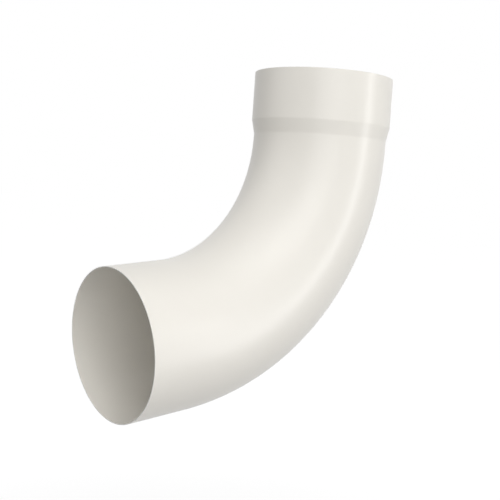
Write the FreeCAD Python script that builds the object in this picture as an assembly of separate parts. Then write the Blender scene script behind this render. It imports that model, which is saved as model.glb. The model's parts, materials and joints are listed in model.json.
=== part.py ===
"""Round downspout elbow: one pipe of coated sheet steel, bent, with its upper end widened into a socket.

The origin is the centre of the socket's mouth, and +Z points up out of it. The pipe drops along -Z,
bends towards -X and ends in a plain spigot. Lengths are in millimetres, and the bend's angle in degrees.
"""
import FreeCAD, Part
import math
import os

pipe_diameter = 100.0     # outside of the bend and of the spigot
sheet_thickness = 0.6     # steel with its coating
socket_depth = 36.0       # from the mouth down to the taper
socket_play = 1.6         # gap all round a pipe of the same diameter that stands in the socket
taper_length = 10.0       # along the axis, where the socket narrows to the pipe
neck_length = 1.2         # straight pipe between the taper and the bend
bend_radius = 142.0       # from the bend's axis to the middle of the pipe
bend_angle = 85.0         # leaves the spigot 5 degrees below level
spigot_length = 43.0      # straight plain end that stands in the next pipe's socket
wall_precision = 0.001    # of the inside wall, which is worked out from the outside

pipe_radius = pipe_diameter / 2
socket_radius = pipe_radius + socket_play + sheet_thickness
taper_top = -socket_depth
taper_foot = taper_top - taper_length
bend_start = taper_foot - neck_length

mouth_centre = FreeCAD.Vector(0, 0, 0)
up = FreeCAD.Vector(0, 0, 1)
neck_end_centre = FreeCAD.Vector(0, 0, bend_start)
bend_centre = FreeCAD.Vector(-bend_radius, 0, bend_start)
bend_axis = FreeCAD.Vector(0, 1, 0)


def socket_taper_and_neck():
    """Turned solid that fills the upper, straight part of the elbow."""
    outline = [
        mouth_centre,
        FreeCAD.Vector(socket_radius, 0, 0),
        FreeCAD.Vector(socket_radius, 0, taper_top),
        FreeCAD.Vector(pipe_radius, 0, taper_foot),
        FreeCAD.Vector(pipe_radius, 0, bend_start),
        neck_end_centre,
        mouth_centre,
    ]
    return Part.Face(Part.makePolygon(outline)).revolve(mouth_centre, up, 360)


def bend_and_spigot():
    """Solid that fills the bend and the spigot: the pipe's disc, turned and then drawn straight on."""
    disc = Part.Face(Part.Wire(Part.makeCircle(pipe_radius, neck_end_centre, up)))
    bend = disc.revolve(bend_centre, bend_axis, bend_angle)
    disc.rotate(bend_centre, bend_axis, bend_angle)
    spigot = disc.extrude(outlet_direction() * spigot_length)
    return bend.fuse(spigot)


def outlet_direction():
    """Unit vector along the spigot, out of the elbow."""
    turned = math.radians(bend_angle)
    return FreeCAD.Vector(-math.sin(turned), 0, -math.cos(turned))


def elbow():
    """The filled pipe, hollowed from both ends to the thickness of the sheet."""
    filled = socket_taper_and_neck().fuse(bend_and_spigot()).removeSplitter()
    ends = [face for face in filled.Faces if face.Surface.TypeId == "Part::GeomPlane"]
    return filled.makeThickness(ends, -sheet_thickness, wall_precision)


os.makedirs("parts", exist_ok=True)
elbow().exportStep("parts/elbow.step")
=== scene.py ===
import json
import math

import bpy
import numpy as np
from mathutils import Matrix, Vector


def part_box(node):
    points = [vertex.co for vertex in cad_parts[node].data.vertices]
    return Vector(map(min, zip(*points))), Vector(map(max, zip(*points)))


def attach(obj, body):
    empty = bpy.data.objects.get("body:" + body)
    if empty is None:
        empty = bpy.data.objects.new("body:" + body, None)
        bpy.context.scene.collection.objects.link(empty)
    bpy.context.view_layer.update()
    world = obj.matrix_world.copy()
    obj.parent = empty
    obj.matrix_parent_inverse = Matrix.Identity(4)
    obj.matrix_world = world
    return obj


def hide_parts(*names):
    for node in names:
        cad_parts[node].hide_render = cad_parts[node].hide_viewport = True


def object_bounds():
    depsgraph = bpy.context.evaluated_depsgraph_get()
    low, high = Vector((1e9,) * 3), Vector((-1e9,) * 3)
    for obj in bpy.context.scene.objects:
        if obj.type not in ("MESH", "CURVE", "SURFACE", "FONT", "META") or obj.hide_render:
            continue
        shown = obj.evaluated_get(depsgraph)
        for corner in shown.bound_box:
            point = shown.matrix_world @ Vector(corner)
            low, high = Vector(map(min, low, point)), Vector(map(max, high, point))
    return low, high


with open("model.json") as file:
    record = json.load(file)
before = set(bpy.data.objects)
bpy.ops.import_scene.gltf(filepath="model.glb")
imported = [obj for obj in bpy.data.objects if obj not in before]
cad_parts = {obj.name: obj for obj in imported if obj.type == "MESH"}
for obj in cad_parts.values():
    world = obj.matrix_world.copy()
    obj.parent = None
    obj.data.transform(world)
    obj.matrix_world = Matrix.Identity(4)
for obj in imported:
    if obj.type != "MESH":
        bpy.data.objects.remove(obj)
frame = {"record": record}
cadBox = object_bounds()
mounts = {mount["name"]: mount for mount in frame["record"]["mounts"]}
print("frame loaded")

elbow = {
    "neck": 0.0012,          # straight pipe between the taper and the bend
    "foldRadius": 0.008,     # outside of the soft folds at the taper's two ends
    "foldSteps": 8,
    "edgeRadius": 0.00012,   # takes the sharpness off the sheet's cut edges
    "edgeSteps": 4,
    "edgeMargin": 0.0004,    # a ring this far from each rounding keeps its shading off the walls
    "straightSteps": 6,
    "bendSteps": 110,
    "around": 288,           # points in each ring round the pipe
}


def readSizes():
    # The spigot turns away from straight down by the bend's angle, and a bend by that angle moves the pipe
    # sideways by radius * (1 - cos(angle)) and down by radius * sin(angle).
    socket, spigot = mounts["socket"], mounts["spigot"]
    outward = Vector(spigot["axis"]).normalized()
    spigotLength = spigot["dims"]["length_mm"] / 1000
    bendEnd = Vector(spigot["pos_m"]) - outward * spigotLength
    angle = math.acos(-outward.z)
    bendRadius = -bendEnd.x / (1 - math.cos(angle))
    bendStart = -bendEnd.z - bendRadius * math.sin(angle)
    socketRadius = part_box("elbow")[1][0]   # the frame's flat faces reach the full radius on +X only
    return {
        "socketRadius": socketRadius,
        "sheet": socketRadius - socket["dims"]["r_mm"] / 1000,
        "pipeRadius": spigot["dims"]["r_mm"] / 1000,
        "taperTop": socket["dims"]["length_mm"] / 1000,
        "taperFoot": bendStart - elbow["neck"],
        "bendStart": bendStart,
        "bendRadius": bendRadius,
        "angle": angle,
        "bendEnd": bendStart + bendRadius * angle,
        "end": bendStart + bendRadius * angle + spigotLength,
    }


def foldArc(before, corner, after):
    # Arc tangent to the two lines that meet at the corner: centre + cos(t) * first + sin(t) * quarter, with
    # t from 0 to the turn between the lines, and with quarter as the first radius turned by 90 degrees.
    back = (before - corner) / np.linalg.norm(before - corner)
    on = (after - corner) / np.linalg.norm(after - corner)
    half = math.acos(back @ on) / 2
    centre = corner + (back + on) / np.linalg.norm(back + on) * elbow["foldRadius"] / math.sin(half)
    first = corner + back * elbow["foldRadius"] / math.tan(half) - centre
    last = corner + on * elbow["foldRadius"] / math.tan(half) - centre
    turn = math.atan2(first[0] * last[1] - first[1] * last[0], first @ last)
    t = np.linspace(0, turn, elbow["foldSteps"] + 1)[:, None]
    quarter = np.array([-first[1], first[0]])
    return centre + np.cos(t) * first + np.sin(t) * quarter


def outerWall(size):
    # Rows of (distance s along the pipe's middle line, radius r) down the outside, from mouth to outlet.
    wide, narrow = size["socketRadius"], size["pipeRadius"]
    top, foot = np.array([size["taperTop"], wide]), np.array([size["taperFoot"], narrow])
    upperFold = foldArc(np.array([0, wide]), top, foot)
    lowerFold = foldArc(top, foot, np.array([size["end"], narrow]))
    edge, margin = elbow["edgeRadius"], elbow["edgeRadius"] + elbow["edgeMargin"]

    def run(first, last, steps, radius):
        return np.column_stack([np.linspace(first, last, steps + 1), np.full(steps + 1, radius)])

    return np.vstack([
        [[edge, wide]],
        run(margin, upperFold[0, 0], elbow["straightSteps"], wide)[:-1],
        upperFold,
        lowerFold,
        run(size["bendStart"], size["bendEnd"], elbow["bendSteps"], narrow),
        run(size["bendEnd"], size["end"] - margin, elbow["straightSteps"], narrow)[1:],
        [[size["end"] - edge, narrow]],
    ])


def innerWall(outside, size):
    # The outside, moved in by one sheet thickness at right angles to itself.
    onward = np.gradient(outside, axis=0)
    onward /= np.linalg.norm(onward, axis=1)[:, None]
    return outside - size["sheet"] * np.column_stack([-onward[:, 1], onward[:, 0]])


def cutEdge(fromRow, toRow, outward):
    # Section of a cut edge between its two walls: a quarter circle, a flat and a quarter circle.
    r = elbow["edgeRadius"]
    t = np.linspace(0, math.pi / 2, elbow["edgeSteps"] + 1)[1:]
    towards = math.copysign(1, toRow[1] - fromRow[1])
    leaving = np.column_stack([outward * r * np.sin(t), towards * (r - r * np.cos(t))])
    arriving = (leaving * [1, -1])[::-1]
    return np.vstack([fromRow + leaving, toRow + arriving])


def alongPipe(section, size):
    # The point at (s, r) of the section and at angle v round the pipe is
    # C(s) + r * (cos(v) * N(s) + sin(v) * Y). C(s) runs straight down, round the bend's circle and
    # straight on, and N(s) points away from that circle's centre.
    s, r = section[:, :1], section[:, 1:]
    turned = np.clip((s - size["bendStart"]) / size["bendRadius"], 0, size["angle"])
    normal = np.column_stack([np.cos(turned), 0 * turned, -np.sin(turned)])
    onward = np.column_stack([-np.sin(turned), 0 * turned, -np.cos(turned)])
    bendCentre = np.array([-size["bendRadius"], 0, -size["bendStart"]])
    straight = s - size["bendStart"] - size["bendRadius"] * turned
    middle = bendCentre + size["bendRadius"] * normal + straight * onward
    v = np.linspace(0, 2 * math.pi, elbow["around"], endpoint=False)[None, :, None]
    outward = np.cos(v) * normal[:, None] + np.sin(v) * np.array([0, 1, 0])
    return middle[:, None] + r[:, None] * outward


def closedGrid(name, points):
    # A grid that closes on itself both ways: its rows go once round the sheet's section, and its columns
    # once round the pipe.
    rows, columns = points.shape[:2]
    i, j = np.meshgrid(np.arange(rows), np.arange(columns), indexing="ij")
    nextRow, nextColumn = (i + 1) % rows, (j + 1) % columns
    corners = [
        i * columns + j,
        nextRow * columns + j,
        nextRow * columns + nextColumn,
        i * columns + nextColumn,
    ]
    mesh = bpy.data.meshes.new(name)
    mesh.from_pydata(points.reshape(-1, 3), [], np.stack(corners, axis=-1).reshape(-1, 4))
    mesh.shade_smooth()
    piece = bpy.data.objects.new(name, mesh)
    bpy.context.scene.collection.objects.link(piece)
    return piece


def makeElbow(size):
    outside = outerWall(size)
    inside = innerWall(outside, size)[::-1]
    outletEdge = cutEdge(outside[-1], inside[0], 1)
    mouthEdge = cutEdge(inside[-1], outside[0], -1)
    section = np.vstack([outside, outletEdge[:-1], inside, mouthEdge[:-1]])
    piece = closedGrid("elbow_pipe", alongPipe(section, size))
    # The material reads this to leave the two cut edges bare.
    cut = np.zeros(len(section), np.float32)
    cut[len(outside):len(outside) + len(outletEdge) - 1] = 1
    cut[1 - len(mouthEdge):] = 1
    attribute = piece.data.attributes.new("cutEdge", "FLOAT", "POINT")
    attribute.data.foreach_set("value", np.repeat(cut, elbow["around"]))
    return piece


size = readSizes()
elbowPipe = makeElbow(size)
shownSizes = {name: round(value, 5) for name, value in size.items()}
print("elbow made,", len(elbowPipe.data.polygons), "faces,", shownSizes)


class Wire:
    # Wraps an output socket of a node tree. Its operators and math() add Math nodes, mix() adds a Mix node
    # for two colours, and node() adds any other kind.
    def __init__(self, tree, socket=None):
        self.tree, self.socket = tree, socket

    def node(self, kind, settings, inputs, output=0):
        made = self.tree.nodes.new(kind)
        for name, value in settings.items():
            setattr(made, name, value)
        for name, value in inputs.items():
            if isinstance(value, Wire):
                self.tree.links.new(value.socket, made.inputs[name])
            else:
                made.inputs[name].default_value = value
        return Wire(self.tree, made.outputs[output] if len(made.outputs) else None)

    def math(self, operation, first, second):
        return self.node("ShaderNodeMath", {"operation": operation}, {0: first, 1: second})

    def mix(self, factor, first, second):
        # Sockets 6 and 7 and output 2 are the ones for colours.
        return self.node("ShaderNodeMix", {"data_type": "RGBA"}, {0: factor, 6: first, 7: second}, 2)

    def __add__(self, other):
        return self.math("ADD", self, other)

    def __radd__(self, other):
        return self.math("ADD", other, self)

    def __sub__(self, other):
        return self.math("SUBTRACT", self, other)

    def __rsub__(self, other):
        return self.math("SUBTRACT", other, self)

    def __mul__(self, other):
        return self.math("MULTIPLY", self, other)

    def __rmul__(self, other):
        return self.math("MULTIPLY", other, self)


def emptyTree(owner):
    # Clears the node tree of a material or a world, and returns the wire that adds its nodes.
    owner.use_nodes = True
    owner.node_tree.nodes.clear()
    return Wire(owner.node_tree)


coat = {
    "colour": (0.797, 0.770, 0.714, 1),      # warm off-white
    "paleColour": (0.813, 0.788, 0.733, 1),
    "cloudSize": 0.028,        # metres between the coating's faint paler and darker clouds
    "cloudDetail": 3,
    "roughness": 0.30,
    "roughnessPlay": 0.05,     # how far the clouds move it
    "specularLevel": 0.35,     # a judgement, under the usual 0.5
    "peelSize": 0.0016,        # metres between the waves of the coating's orange peel
    "peelHeight": 0.0000022,
    "peelDetail": 2,
    "grainSize": 0.00025,
    "grainHeight": 0.0000006,
    "grainDetail": 1,
    "noiseMiddle": 0.5,        # the level that the noise goes up and down about
    "bareColour": (0.60, 0.60, 0.585, 1),    # zinc and steel where the sheet was cut
    "bareMetallic": 0.55,
    "bareRoughness": 0.14,     # added on the cut edges
}


def coatedSteel(name):
    material = bpy.data.materials.new(name)
    start = emptyTree(material)
    place = start.node("ShaderNodeTexCoord", {}, {}, "Object")
    cut = start.node("ShaderNodeAttribute", {"attribute_name": "cutEdge"}, {}, "Fac")

    def noise(spacing, detail):
        inputs = {"Vector": place, "Scale": 1 / spacing, "Detail": detail}
        return start.node("ShaderNodeTexNoise", {}, inputs)

    clouds = noise(coat["cloudSize"], coat["cloudDetail"])
    peel = noise(coat["peelSize"], coat["peelDetail"])
    grain = noise(coat["grainSize"], coat["grainDetail"])
    painted = start.mix(clouds, coat["colour"], coat["paleColour"])
    colour = start.mix(cut, painted, coat["bareColour"])
    cloudy = coat["roughness"] + coat["roughnessPlay"] * (clouds - coat["noiseMiddle"])
    roughness = cloudy + coat["bareRoughness"] * cut
    height = peel * coat["peelHeight"] + grain * coat["grainHeight"]  # metres, so the bump keeps it as it is
    bump = start.node("ShaderNodeBump", {}, {"Strength": 1, "Distance": 1, "Height": height})
    surface = start.node("ShaderNodeBsdfPrincipled", {}, {
        "Base Color": colour,
        "Metallic": coat["bareMetallic"] * cut,
        "Roughness": roughness,
        "Specular IOR Level": coat["specularLevel"],
        "Normal": bump,
    })
    start.node("ShaderNodeOutputMaterial", {}, {"Surface": surface})
    return material


elbowPipe.data.materials.append(coatedSteel("off_white_coat"))
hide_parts("elbow")
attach(elbowPipe, "root")
print("coating made")

studio = {
    "floorColour": (0.5, 0.5, 0.5, 1),       # as it lights the elbow from below
    "paleFloorColour": (0.9, 0.9, 0.9, 1),   # as the camera and reflections see it
    "floorRoughness": 0.9,
    "floorSpecular": 0,        # nothing mirrors in it
    "floorBelow": 0.5,         # metres under the elbow's lowest point, clear of the side lamp's foot
    "floorWidth": 40,
    "skyColour": (1, 1, 1, 1),
    "ambient": 0.30,           # strength of the light from all round
}

# What the camera and reflections see on top of the floor's own light, so that it is white. The lamps light
# the floor under the elbow and not far off, so the glow goes from near to far between these distances in
# metres from the origin, which is in the elbow's mouth.
floorGlow = {"near": 0.38, "far": 0.73, "growsFrom": 0.74, "growsTo": 1.9}

# Each lamp is a flat soft panel that faces the elbow: degrees to the right of the camera and above the
# horizon as seen from the elbow, distance, width and height in metres, and power in watts.
# The side one is the tall narrow panel whose reflection runs down the outer side of the bend.
lamps = {
    "front": {"right": 10, "above": 13, "distance": 1.5, "width": 1.3, "height": 1.0, "power": 6.8},
    "high": {"right": 20, "above": 45, "distance": 1.5, "width": 1.0, "height": 1.0, "power": 7.1},
    "top": {"right": 0, "above": 75, "distance": 1.5, "width": 1.0, "height": 1.0, "power": 3.55},
    "left": {"right": -75, "above": 25, "distance": 1.5, "width": 1.0, "height": 1.0, "power": 2.65},
    "side": {"right": 80, "above": 0, "distance": 1.5, "width": 0.06, "height": 1.2, "power": 6.5},
    "low": {"right": 5, "above": -8, "distance": 0.9, "width": 0.5, "height": 0.20, "power": 0.6},
}

# The lens and its shift, and where the camera stands, come from a fit to the outline in the photograph.
# Angles are in degrees, the distance and target in metres, and the lens and sensor in millimetres.
camera = {
    "azimuth": -41.18,
    "elevation": 1.27,
    "roll": 4.01,
    "distance": 0.6004,
    "target": (-0.0583, 0, -0.0988),
    "lens": 60.23,
    "sensor": 36,
    "shift": (-0.0142, -0.0920),
}


def directionTo(azimuth, elevation):
    # Unit vector towards a place round the elbow. Azimuth 0 is in front, on -Y, and grows towards +X.
    a, e = math.radians(azimuth), math.radians(elevation)
    return Vector((math.sin(a) * math.cos(e), -math.cos(a) * math.cos(e), math.sin(e)))


def placeFacing(thing, target, direction, distance, roll=0):
    # Puts a thing at the distance from the target, with its -Z towards the target and turned by the roll.
    right = Vector((0, 0, 1)).cross(direction).normalized()
    up = direction.cross(right)
    turn = math.radians(roll)
    axes = [
        math.cos(turn) * right + math.sin(turn) * up,
        math.cos(turn) * up - math.sin(turn) * right,
        direction,
    ]
    place = Vector(target) + direction * distance
    thing.matrix_world = Matrix.Translation(place) @ Matrix(axes).transposed().to_4x4()
    bpy.context.scene.collection.objects.link(thing)


def makeCamera():
    data = bpy.data.cameras.new("camera")
    data.lens, data.sensor_width = camera["lens"], camera["sensor"]
    data.shift_x, data.shift_y = camera["shift"]
    thing = bpy.data.objects.new("camera", data)
    direction = directionTo(camera["azimuth"], camera["elevation"])
    placeFacing(thing, camera["target"], direction, camera["distance"], camera["roll"])
    bpy.context.scene.camera = thing


def makeLamp(name, lamp):
    data = bpy.data.lights.new(name, "AREA")
    data.shape, data.size, data.size_y = "RECTANGLE", lamp["width"], lamp["height"]
    data.energy = lamp["power"]
    direction = directionTo(camera["azimuth"] + lamp["right"], lamp["above"])
    placeFacing(bpy.data.objects.new(name, data), camera["target"], direction, lamp["distance"])


def seenByCameraOrGloss(start):
    # 1 for rays that come from the camera or from a glossy or clear surface, and 0 for the rest.
    def ray(output):
        return start.node("ShaderNodeLightPath", {}, {}, output)
    return start.math("MINIMUM", ray("Is Camera Ray") + ray("Is Glossy Ray") + ray("Is Transmission Ray"), 1)


def makeFloor():
    half = studio["floorWidth"] / 2
    level = cadBox[0].z - studio["floorBelow"]
    corners = np.array([(-1, -1), (1, -1), (1, 1), (-1, 1)]) * half
    mesh = bpy.data.meshes.new("floor")
    mesh.from_pydata(np.column_stack([corners, np.full(4, level)]), [], [(0, 1, 2, 3)])
    material = bpy.data.materials.new("floor")
    start = emptyTree(material)
    place = start.node("ShaderNodeTexCoord", {}, {}, "Object")
    away = start.node("ShaderNodeVectorMath", {"operation": "LENGTH"}, {0: place}, "Value")
    glow = start.node("ShaderNodeMapRange", {}, {
        "Value": away,
        "From Min": floorGlow["growsFrom"],
        "From Max": floorGlow["growsTo"],
        "To Min": floorGlow["near"],
        "To Max": floorGlow["far"],
    })
    seen = seenByCameraOrGloss(start)
    colour = start.mix(seen, studio["floorColour"], studio["paleFloorColour"])
    surface = start.node("ShaderNodeBsdfPrincipled", {}, {
        "Base Color": colour,
        "Roughness": studio["floorRoughness"],
        "Specular IOR Level": studio["floorSpecular"],
        "Emission Color": glow * seen,
        "Emission Strength": 1,
    })
    start.node("ShaderNodeOutputMaterial", {}, {"Surface": surface})
    mesh.materials.append(material)
    floor = bpy.data.objects.new("floor", mesh)
    bpy.context.scene.collection.objects.link(floor)


def makeWorld():
    world = bpy.data.worlds.new("studio")
    start = emptyTree(world)
    seen = seenByCameraOrGloss(start)
    strength = seen + studio["ambient"] * (1 - seen)
    sky = {"Color": studio["skyColour"], "Strength": strength}
    background = start.node("ShaderNodeBackground", {}, sky)
    start.node("ShaderNodeOutputWorld", {}, {"Surface": background})
    bpy.context.scene.world = world


makeCamera()
for name, lamp in lamps.items():
    makeLamp(name, lamp)
makeFloor()
makeWorld()
bpy.context.scene.view_settings.view_transform = "Standard"
print("studio made")
